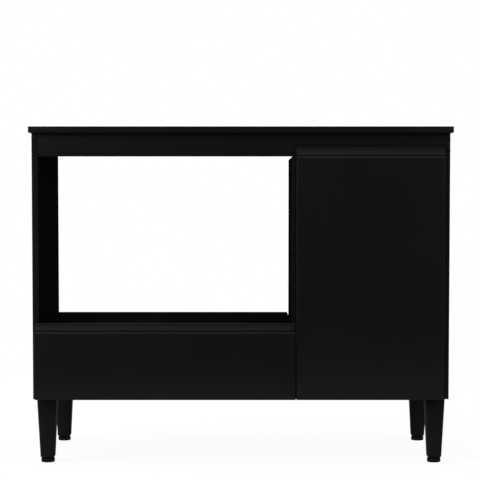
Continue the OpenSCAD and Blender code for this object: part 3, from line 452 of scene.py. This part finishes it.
def painted_profile(name, dark, light, gloss, lacquer, stretch):
    """Black paint baked onto drawn aluminium: faint lines along the profile show through it."""
    material, tree, shader = new_shader(name)
    lines = pattern(tree, "ShaderNodeTexNoise", stretch, Scale=1.0, Detail=4.0)
    speck = pattern(tree, "ShaderNodeTexNoise", Scale=1600.0, Detail=2.0)
    tinted(tree, shader, lines, dark, light)
    glossed(tree, shader, speck, gloss)
    relief = [(lines.outputs["Fac"], drawn_h), (speck.outputs["Fac"], speck_h)]
    raised(tree, shader, relief, strength=0.3)
    lacquered(shader, lacquer, gloss)
    return material


def moulded(name, dark, light, gloss, lacquer):
    """Moulded plastic or rubber with a fine spark-eroded grain. Its skin shines as a lacquer does."""
    material, tree, shader = new_shader(name)
    grain = pattern(tree, "ShaderNodeTexNoise", Scale=1800.0, Detail=3.0)
    cloud = pattern(tree, "ShaderNodeTexNoise", Scale=40.0, Detail=2.0)
    speckled(tree, shader, cloud, dark, light, grain, spark_dark)
    glossed(tree, shader, grain, gloss)
    raised(tree, shader, [(grain.outputs["Fac"], spark_h)], strength=0.35)
    lacquered(shader, lacquer, gloss)
    return material


outer_laminate = satin_board(
    "outer_laminate", dark=(0.0055, 0.0055, 0.0057), light=(0.0065, 0.0065, 0.0067),
    gloss=(0.42, 0.52), lacquer=0.16)
# The same black foil inside the cabinet, painted darker as the shade that falls there, and with almost no
# lacquer
shade_darkened_laminate = satin_board(
    "shade_darkened_laminate", dark=(0.0032, 0.0032, 0.0034), light=(0.0040, 0.0040, 0.0041),
    gloss=(0.5, 0.6), lacquer=0.003)
front_foil = satin_board(
    "front_foil", dark=(0.0065, 0.0065, 0.0067), light=(0.0075, 0.0075, 0.0077),
    gloss=(0.34, 0.42), lacquer=0.16)
edge_tape = satin_board(
    "edge_tape", dark=(0.0065, 0.0065, 0.0067), light=(0.0075, 0.0075, 0.0077),
    gloss=(0.36, 0.46), lacquer=0.16)
board_core = chipboard("board_core")
raw_hardboard = fibreboard("raw_hardboard")
pull_paint = painted_profile(
    "pull_paint", dark=(0.0150, 0.0150, 0.0153), light=(0.0180, 0.0180, 0.0183),
    gloss=(0.34, 0.44), lacquer=0.06, stretch=profile_lines)
# Darker paint for the groove behind a handle profile's lip: painted shade where the lip shades it
painted_groove_shade = painted_profile(
    "painted_groove_shade", dark=(0.0040, 0.0040, 0.0041), light=(0.0055, 0.0055, 0.0056),
    gloss=(0.5, 0.6), lacquer=0.02, stretch=profile_lines)
zinc_plate = drawn_metal(
    "zinc_plate", dark=(0.42, 0.44, 0.47), light=(0.58, 0.58, 0.56),
    gloss=(0.28, 0.42), stretch=steel_lines)
leg_plastic = moulded(
    "leg_plastic", dark=(0.0068, 0.0068, 0.0070), light=(0.0083, 0.0083, 0.0085),
    gloss=(0.36, 0.46), lacquer=0.08)
foot_plastic = moulded(
    "foot_plastic", dark=(0.0047, 0.0047, 0.0049), light=(0.0061, 0.0061, 0.0063),
    gloss=(0.26, 0.34), lacquer=0.12)
bumper_rubber = moulded(
    "bumper_rubber", dark=(0.31, 0.31, 0.31), light=(0.40, 0.40, 0.40),
    gloss=(0.5, 0.6), lacquer=0.3)


def make_camera():
    """The camera. Its lens looks at picture_centre_px, which lies under the picture's middle."""
    bpy.ops.object.camera_add(location=camera_place,
                              rotation=(math.radians(90 - camera_tilt), 0, 0))
    camera = bpy.context.active_object
    camera.data.sensor_width = sensor_mm
    camera.data.lens = focal_px / picture_px * sensor_mm
    camera.data.shift_x = (picture_px / 2 - picture_centre_px[0]) / picture_px
    camera.data.shift_y = (picture_centre_px[1] - picture_px / 2) / picture_px
    camera.data.clip_end = camera_reach
    bpy.context.scene.camera = camera


make_camera()
bpy.context.scene.view_settings.view_transform = "Standard"


def lies_on(low, high, sides, ends):
    """True if all ends lie on one of the box's sides, given as (axis, way) pairs."""
    return any(all(abs(end[axis] - (high if way > 0 else low)[axis]) < near for end in ends)
               for axis, way in sides)


left, right, ahead, behind, under, over = (0, -1), (0, 1), (1, -1), (1, 1), (2, -1), (2, 1)
all_sides = (left, right, ahead, behind, under, over)


def box_edge(low, high, ends):
    """True if the ends lie along one edge of the box."""
    return sum(lies_on(low, high, [side], ends) for side in all_sides) >= 2


def place_faces(piece, low, high, raw, outer):
    """Tells a board's faces apart: material 0 within the cabinet, where the foil is painted darker as
    shade, 1 cut and raw, 2 on its outer sides.
    """

    def on(face, sides):
        return any(face.normal[axis] * way > leaning
                   and abs(face.center[axis] - (high if way > 0 else low)[axis]) < rim_depth
                   for axis, way in sides)

    for face in piece.data.polygons:
        depth = min(min(face.center[i] - low[i], high[i] - face.center[i]) for i in range(3))
        if depth > rim_depth or on(face, raw):
            face.material_index = 1
        elif on(face, outer):
            face.material_index = 2


def board(node, raw=(), outer=(), taped=(), core=board_core, radius=arris):
    """A laminated board. Its arrises are eased, but not beside its edge tape, and its core shows where
    it is cut."""
    piece = copied(node, node + "_board")
    low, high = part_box(node)
    round_edges(
        piece, lambda *ends: box_edge(low, high, ends) and not lies_on(low, high, taped, ends), radius)
    for material in (shade_darkened_laminate, core, outer_laminate):
        piece.data.materials.append(material)
    place_faces(piece, low, high, raw, outer)
    smooth(piece)
    return settle(piece, node)


board("worktop", raw=[behind], outer=[over, under, ahead, left, right], taped=[ahead, left, right])
board("side_panel_left", raw=[behind, under, over], outer=[left], taped=[ahead])
board("side_panel_right", raw=[behind, under, over], outer=[right], taped=[ahead])
board("divider_panel", raw=[behind, under, over], taped=[ahead])
board("base_panel", raw=[behind], outer=[under], taped=[ahead])
board("niche_shelf", raw=[behind, right], taped=[ahead])
board("front_apron", outer=[ahead, under], radius=soft_arris)
board("rear_rail", raw=[under], outer=[behind])
board("cupboard_shelf", raw=[behind, left, right], taped=[ahead])
for side in ("left", "right"):
    board("drawer_side_" + side, raw=[behind, under])
board("drawer_back", raw=[under])
for sheet, cut in (("cupboard_back", [behind]), ("drawer_bay_back", [behind]),
                   ("drawer_bottom", [under, behind])):
    board(sheet, raw=cut, core=raw_hardboard, radius=arris / 2)


def front(node):
    """A door or drawer front. Its two upright front edges are more rounded than the rest, and the edge
    under the handle profile's seam a little more."""
    piece = copied(node, node + "_board")
    low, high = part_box(node)

    def upright_front(*ends):
        return lies_on(low, high, [ahead], ends) and (
            lies_on(low, high, [left], ends) or lies_on(low, high, [right], ends))

    def seam(*ends):
        return abs(ends[0].z - ends[1].z) < weld and all(
            end.y - low.y < near and end.z > low.z + joint_edge_r * 2 for end in ends)

    round_edges(piece, upright_front, front_edge_r, segments=5)
    round_edges(piece, seam, joint_edge_r, segments=3)
    round_edges(piece, lambda *ends: box_edge(low, high, ends), soft_arris)
    piece.data.materials.append(front_foil)
    piece.data.materials.append(board_core)
    place_faces(piece, low, high, (), ())
    smooth(piece)
    return settle(piece, node)


front("door_panel")
front("drawer_front")


def tape(node, name, planes):
    """Edge tape. Its outer edges are scraped round; planes holds each (axis, place) that it shows."""
    piece = copied(node, name)

    def outer_edge(*ends):
        return any(all(abs(end[axis] - place) < near for end in ends) for axis, place in planes)

    round_edges(piece, outer_edge, tape_edge_r, segments=3)
    smooth(piece)
    return settle(piece, node, edge_tape)


top_low, top_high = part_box("worktop_edge_bands")
tape("worktop_edge_bands", "worktop_tape", [(1, top_low.y), (0, top_low.x), (0, top_high.x)])
tape("carcass_edge_bands", "carcass_tape",
     {(1, min(point.y for point in points)) for points in solids_of("carcass_edge_bands")})


def softened(node, name, radius, material, segments=2, before=None):
    """A CAD node's own shape with its sharp edges rounded, once before, if given, has worked on it."""
    piece = copied(node, name)
    if before:
        before(piece)
    modifier = piece.modifiers.new("edges", "BEVEL")
    modifier.limit_method = "ANGLE"
    modifier.angle_limit = sharp_angle
    modifier.width = radius
    modifier.segments = segments
    modifier.use_clamp_overlap = True
    applied(piece, modifier)
    smooth(piece)
    return settle(piece, node, material)


def pull(node, name):
    """A handle profile. Its faces down in the groove behind the lip get a darker paint, which is painted
    shade where the lip shades the groove.
    """
    piece = softened(node, name, pull_edge_r, pull_paint, segments=3)
    low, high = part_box(node)
    foot_z = high.z - pull_h
    piece.data.materials.append(painted_groove_shade)
    for face in piece.data.polygons:
        inside = face.center.y > low.y + lip_t / 2 and face.normal.y < pull_rear
        if inside and foot_z < face.center.z < foot_z + hollow_foot_h:
            face.material_index = 1
    return piece


pull("door_handle_profile", "door_finger_pull")
pull("drawer_handle_profile", "drawer_finger_pull")


def make_leg(node):
    """A square leg: a block tapered to its knee and its end, then chamfered along its corners."""
    low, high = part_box(node)
    middle = (low + high) / 2
    width = high.x - low.x
    knee_z = low.z + leg_end_h
    bpy.ops.object.select_all(action="DESELECT")
    bpy.ops.mesh.primitive_cube_add(size=1, location=middle, scale=(width, width, high.z - low.z))
    leg = bpy.context.active_object
    leg.name = node.replace("leg", "tapered_leg")
    bpy.ops.object.transform_apply(location=True, rotation=True, scale=True)
    edit(leg, "VERT")
    bpy.ops.mesh.select_all(action="SELECT")
    bpy.ops.mesh.bisect(plane_co=(middle.x, middle.y, knee_z), plane_no=(0, 0, 1))
    done()
    for height, wanted in ((knee_z, leg_foot_w), (low.z, leg_end_w)):
        pick(leg, "VERT", lambda place: abs(place.z - height) < weld)
        bpy.ops.transform.resize(value=(wanted / width, wanted / width, 1),
                                 center_override=(middle.x, middle.y, height))
        done()
    pick(leg, "EDGE", lambda a, b: abs(a.z - b.z) > leg_end_h / 2)
    bpy.ops.mesh.bevel(offset=leg_chamfer, segments=1, affect="EDGES")
    bpy.ops.mesh.select_all(action="SELECT")
    bpy.ops.mesh.bevel(offset=leg_edge_r, segments=2, affect="EDGES")
    done()
    smooth(leg)
    return settle(leg, node, leg_plastic)


def turned(name, profile, foot, steps):
    """A piece turned about an upright line through foot, from (radius, height) points. A triangle
    merged to one point starts the outline."""
    bpy.ops.object.select_all(action="DESELECT")
    bpy.ops.mesh.primitive_circle_add(vertices=3, radius=1, location=(0, 0, 0))
    piece = bpy.context.active_object
    piece.name = name
    edit(piece, "VERT")
    bpy.ops.mesh.select_all(action="SELECT")
    bpy.ops.mesh.merge(type="CENTER")
    start = Vector((foot[0] + profile[0][0], foot[1], foot[2] + profile[0][1]))
    bpy.ops.transform.translate(value=start)
    for radius, height in profile[1:]:
        end = Vector((foot[0] + radius, foot[1], foot[2] + height))
        bpy.ops.mesh.extrude_region_move(TRANSFORM_OT_translate={"value": end - start})
        start = end
    bpy.ops.mesh.select_all(action="SELECT")
    bpy.ops.mesh.spin(steps=steps, angle=math.tau, center=foot, axis=(0, 0, 1))
    bpy.ops.mesh.select_all(action="SELECT")
    bpy.ops.mesh.remove_doubles(threshold=weld)
    bpy.ops.mesh.normals_make_consistent(inside=False)
    done()
    return piece


def make_foot(node):
    """A levelling foot: a fluted disc and a collar, with a threaded stud."""
    low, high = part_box(node)
    foot = (low + high) / 2
    foot.z = low.z
    radius = (high.x - low.x) / 2
    edge = foot_edge_r
    arc = edge * foot_arc_share
    collar_top = foot_h + foot_collar_h
    profile = [(0, 0), (radius - edge, 0), (radius - arc, arc), (radius, edge),
               (radius, foot_h - edge / 2), (radius - edge / 2, foot_h), (foot_collar_r, foot_h),
               (foot_collar_r, collar_top - edge / 3), (foot_collar_r - edge / 3, collar_top),
               (stud_r, collar_top)]
    stud_top = high.z - low.z
    height = collar_top + thread_pitch
    while height < stud_top - thread_pitch:
        profile.append((stud_r - thread_depth, height))
        profile.append((stud_r, height + thread_pitch / 2))
        height += thread_pitch
    profile += [(stud_r - thread_depth, stud_top), (0, stud_top)]
    name = node.replace("levelling_foot", "screw_foot")
    piece = turned(name, profile, foot, foot_flutes * foot_flute_steps)
    flute = math.tau / foot_flutes

    def in_flute(face):
        x, y = face.center.x - foot.x, face.center.y - foot.y
        turn = (math.atan2(y, x) % flute) / flute
        on_side = abs(face.normal.z) < foot_side_tilt and math.hypot(x, y) > foot_collar_r + edge / 4
        return on_side and turn < foot_flute_share

    pick(piece, "FACE", in_flute)
    bpy.ops.mesh.extrude_region_move()
    share = 1 - foot_flute_depth / radius
    bpy.ops.transform.resize(value=(share, share, 1), center_override=foot)
    done()
    smooth(piece)
    return settle(piece, node, foot_plastic)


for corner in ("front_left", "front_right", "rear_left", "rear_right"):
    make_leg("leg_" + corner)
    make_foot("levelling_foot_" + corner)


def disc(name, radius, height, steps=disc_steps):
    """A disc at the origin whose shown face looks down at the ground."""
    bpy.ops.object.select_all(action="DESELECT")
    bpy.ops.mesh.primitive_cylinder_add(vertices=steps, radius=radius, depth=height,
                                        location=(0, 0, height / 2))
    piece = bpy.context.active_object
    piece.name = name
    bpy.ops.object.transform_apply(location=True, rotation=True, scale=True)
    return piece


def turned_to(pointing):
    """The turn that takes up to the way that pointing says."""
    return Vector((0, 0, 1)).rotation_difference(pointing).to_matrix().to_4x4()


def recessed(piece, radius, depth, head=Vector((0, 0, 0)), pointing=Vector((0, 0, 1))):
    """Cuts a cross recess into a face, from head and the way that pointing says."""
    for turn in (0, math.pi / 2):
        bpy.ops.object.select_all(action="DESELECT")
        bpy.ops.mesh.primitive_cube_add(
            size=1, rotation=(0, 0, turn),
            scale=(radius * 2 * recess_share, radius * 2 * recess_w_share, depth * 2))
        bpy.ops.object.transform_apply(location=True, rotation=True, scale=True)
        arm = bpy.context.active_object
        pick(arm, "VERT", lambda place: place.z > 0)
        bpy.ops.transform.resize(value=(recess_taper_share, recess_taper_share, 1),
                                 center_override=(0, 0, depth))
        done()
        arm.data.transform(Matrix.Translation(head) @ turned_to(pointing))
        modifier = piece.modifiers.new("recess", "BOOLEAN")
        modifier.operation = "DIFFERENCE"
        modifier.solver = "EXACT"
        modifier.object = arm
        applied(piece, modifier)
        bpy.data.objects.remove(arm)


def measured(points):
    """A fastener's head centre, the way that it points, its head's radius and height, and its length."""
    low, high = corners(points)
    size = high - low
    axis = max(range(3), key=lambda i: size[i])
    middle = (low + high) / 2

    def off_axis(point):
        return Vector([0 if i == axis else point[i] - middle[i] for i in range(3)]).length

    ends = []
    for way in (-1, 1):
        end = (high if way > 0 else low)[axis]
        ends.append((max(off_axis(p) for p in points if abs(p[axis] - end) < head_face_near), way, end))
    reach, way, end = max(ends)
    head = middle.copy()
    head[axis] = end
    pointing = Vector([-way if i == axis else 0 for i in range(3)])
    height = max(abs(p[axis] - end) for p in points if off_axis(p) > reach * head_rim_share)
    return head, pointing, reach, height, size[axis]


def stood(piece, head, pointing, name):
    """A copy of a fastener, with its own mesh, put in at head and pointing into the board."""
    copy = bpy.data.objects.new(name, piece.data.copy())
    bpy.context.scene.collection.objects.link(copy)
    copy.data.transform(Matrix.Translation(head) @ turned_to(pointing))
    return copy


def screws(node, name):
    """Screws with a cross recess, a rounded head and a pointed shank, one for each of the node's
    solids."""
    copies = []
    model = None
    for points in solids_of(node):
        head, pointing, radius, height, length = measured(points)
        if model is None:
            model = disc("screw_model", radius, height)
            pick(model, "FACE", lambda face: face.normal.z > square)
            bpy.ops.mesh.inset(thickness=radius * (1 - shank_share))
            for step in (length - height - radius, radius):
                bpy.ops.mesh.extrude_region_move(TRANSFORM_OT_translate={"value": (0, 0, step)})
            bpy.ops.transform.resize(value=(tip_share, tip_share, 1), center_override=(0, 0, length))
            done()
            head_round = max(height * head_round_share, radius * head_round_least)
            round_edges(model, lambda a, b: max(a.z, b.z) < weld, head_round, segments=3)
            recessed(model, radius, height * recess_depth_share)
        copies.append(stood(model, head, pointing, "screw"))
    bpy.data.objects.remove(model)
    piece = joined(copies, name)
    smooth(piece)
    return settle(piece, node, zinc_plate)


screws("bracket_screws", "bracket_cross_screws")
screws("hinge_plate_screws", "hinge_plate_cross_screws")
screws("hinge_cup_screws", "hinge_cup_cross_screws")
screws("slide_screws_carcass", "slide_carcass_cross_screws")
screws("slide_screws_drawer", "slide_drawer_cross_screws")
screws("drawer_screws", "drawer_cross_screws")


def caps():
    """Cover caps: low domes over the carcass screws."""
    copies = []
    model = None
    for points in solids_of("screw_caps"):
        low, high = corners(points)
        size = high - low
        way = 1 if low.x > 0 else -1
        radius, height = size.y / 2, size.x
        if model is None:
            model = disc("cap_model", radius, height, cap_steps)
            pick(model, "FACE", lambda face: face.normal.z < -square)
            for ring in cap_rings:
                bpy.ops.mesh.inset(thickness=radius * ring)
            done()
            for past, drop in cap_dome:
                pick(model, "VERT", lambda place: place.z < weld and place.xy.length > radius * past)
                bpy.ops.transform.translate(value=(0, 0, height * drop))
                done()
        head = (low + high) / 2
        head.x = (high if way > 0 else low).x
        copies.append(stood(model, head, Vector((-way, 0, 0)), "cap"))
    bpy.data.objects.remove(model)
    piece = joined(copies, "screw_cover_caps")
    smooth(piece)
    return settle(piece, "screw_caps", leg_plastic)


def cams():
    """The drawer's cam locks, with a cross recess in the faces that show inside the drawer."""
    piece = copied("drawer_cams", "cam_locks")
    inside = sum(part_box("drawer_bottom"), Vector()) / 2
    for points in solids_of("drawer_cams"):
        low, high = corners(points)
        head = (low + high) / 2
        way = 1 if inside.x > head.x else -1
        head.x = (high if way > 0 else low).x
        recessed(piece, cam_r, cam_recess_depth, head, Vector((-way, 0, 0)))
    smooth(piece)
    return settle(piece, "drawer_cams", zinc_plate)


def bracket_corners(piece):
    """Rounds the corners at the ends of each bracket's flanges."""
    boxes = [corners(points) for points in solids_of("corner_brackets")]

    def flange_corner(*ends):
        across = abs((ends[0] - ends[1]).length - bracket_t) < weld
        return across and any(box_edge(low, high, ends) for low, high in boxes)

    round_edges(piece, flange_corner, bracket_corner_r, segments=5)


caps()
cams()
softened("corner_brackets", "bent_brackets", steel_edge_r, zinc_plate, before=bracket_corners)
for node in ("hinge_plates", "hinge_arms", "hinge_cups", "shelf_pins", "back_nails"):
    softened(node, "pressed_" + node, steel_edge_r, zinc_plate)
for side in ("left", "right"):
    for rail in ("outer", "middle", "inner"):
        softened(f"slide_{rail}_{side}", f"rolled_{rail}_rail_{side}", rail_edge_r, zinc_plate)
for panel in ("door", "drawer"):
    softened(panel + "_bumpers", panel + "_bumper_pads", bumper_edge_r, bumper_rubber, segments=4)

# The finish of each CAD node, by the record's material slots
looks = {"zinc_steel": zinc_plate, "bumper_rubber": bumper_rubber, "leg_plastic": leg_plastic,
         "foot_plastic": foot_plastic, "hardboard": raw_hardboard, "edge_tape": edge_tape,
         "front_board": front_foil, "handle_profile": pull_paint, "carcass_board": shade_darkened_laminate}
for node, thing in frame["nodes"].items():
    thing.data.materials.clear()
    thing.data.materials.append(looks[slot_of[node]])


def background_share(tree, share=1):
    """How much of the white background a ray sees: camera rays, and mirrored and transmitted ones."""
    rays = tree.nodes.new("ShaderNodeLightPath")
    total = rays.outputs["Is Camera Ray"]
    for kind in ("Is Glossy Ray", "Is Transmission Ray"):
        either = tree.nodes.new("ShaderNodeMath")
        either.operation = "MAXIMUM"
        tree.links.new(total, either.inputs[0])
        tree.links.new(rays.outputs[kind], either.inputs[1])
        total = either.outputs["Value"]
    return ranged(tree, total, 0, share, ends=(0, 1))


def make_world():
    """A white backdrop all round, but for the dim room in front of the object that reflections show."""
    world = bpy.data.worlds.new("studio")
    bpy.context.scene.world = world
    world.use_nodes = True
    tree = world.node_tree
    tree.nodes.clear()
    output = tree.nodes.new("ShaderNodeOutputWorld")
    white = tree.nodes.new("ShaderNodeBackground")
    white.inputs["Color"].default_value = (1, 1, 1, 1)
    place = tree.nodes.new("ShaderNodeTexCoord")
    split = tree.nodes.new("ShaderNodeSeparateXYZ")
    tree.links.new(place.outputs["Generated"], split.inputs["Vector"])
    rays = tree.nodes.new("ShaderNodeLightPath")
    glow = tree.nodes.new("ShaderNodeMath")
    glow.operation = "MAXIMUM"
    tree.links.new(ranged(tree, split.outputs["Y"], room_front, 1, room_front_ends), glow.inputs[0])
    tree.links.new(rays.outputs["Is Camera Ray"], glow.inputs[1])
    tree.links.new(glow.outputs["Value"], white.inputs["Strength"])
    room = tree.nodes.new("ShaderNodeBackground")
    room.inputs["Color"].default_value = (1, 1, 1, 1)
    room.inputs["Strength"].default_value = room_light
    mix = tree.nodes.new("ShaderNodeMixShader")
    tree.links.new(background_share(tree), mix.inputs["Fac"])
    tree.links.new(room.outputs["Background"], mix.inputs[1])
    tree.links.new(white.outputs["Background"], mix.inputs[2])
    tree.links.new(mix.outputs["Shader"], output.inputs["Surface"])


def make_floor():
    """A pale floor that reads white, and keeps a soft shadow."""
    bpy.ops.object.select_all(action="DESELECT")
    bpy.ops.mesh.primitive_plane_add(size=floor_w, location=(0, floor_w / 2 - floor_front, 0))
    floor = bpy.context.active_object
    floor.name = "floor"
    material, tree, shader = new_shader("pale_floor")
    output = tree.nodes["Material Output"]
    shader.inputs["Base Color"].default_value = (floor_white, floor_white, floor_white, 1)
    shader.inputs["Roughness"].default_value = floor_roughness
    shader.inputs["Specular IOR Level"].default_value = 0
    glow = tree.nodes.new("ShaderNodeEmission")
    glow.inputs["Color"].default_value = (1, 1, 1, 1)
    glow.inputs["Strength"].default_value = floor_glow
    mix = tree.nodes.new("ShaderNodeMixShader")
    tree.links.new(background_share(tree, floor_share), mix.inputs["Fac"])
    tree.links.new(shader.outputs["BSDF"], mix.inputs[1])
    tree.links.new(glow.outputs["Emission"], mix.inputs[2])
    tree.links.new(mix.outputs["Shader"], output.inputs["Surface"])
    floor.data.materials.append(material)


def softbox(name, place, width, power):
    """A square lamp that faces lamp_aim."""
    bpy.ops.object.select_all(action="DESELECT")
    bpy.ops.object.light_add(type="AREA", location=place)
    lamp = bpy.context.active_object
    lamp.name = name
    lamp.data.shape = "SQUARE"
    lamp.data.size = width
    lamp.data.energy = power
    lamp.rotation_mode = "QUATERNION"
    lamp.rotation_quaternion = (Vector(lamp_aim) - Vector(place)).to_track_quat("-Z", "Y")


make_world()
make_floor()
for lamp in lamps:
    softbox(*lamp)
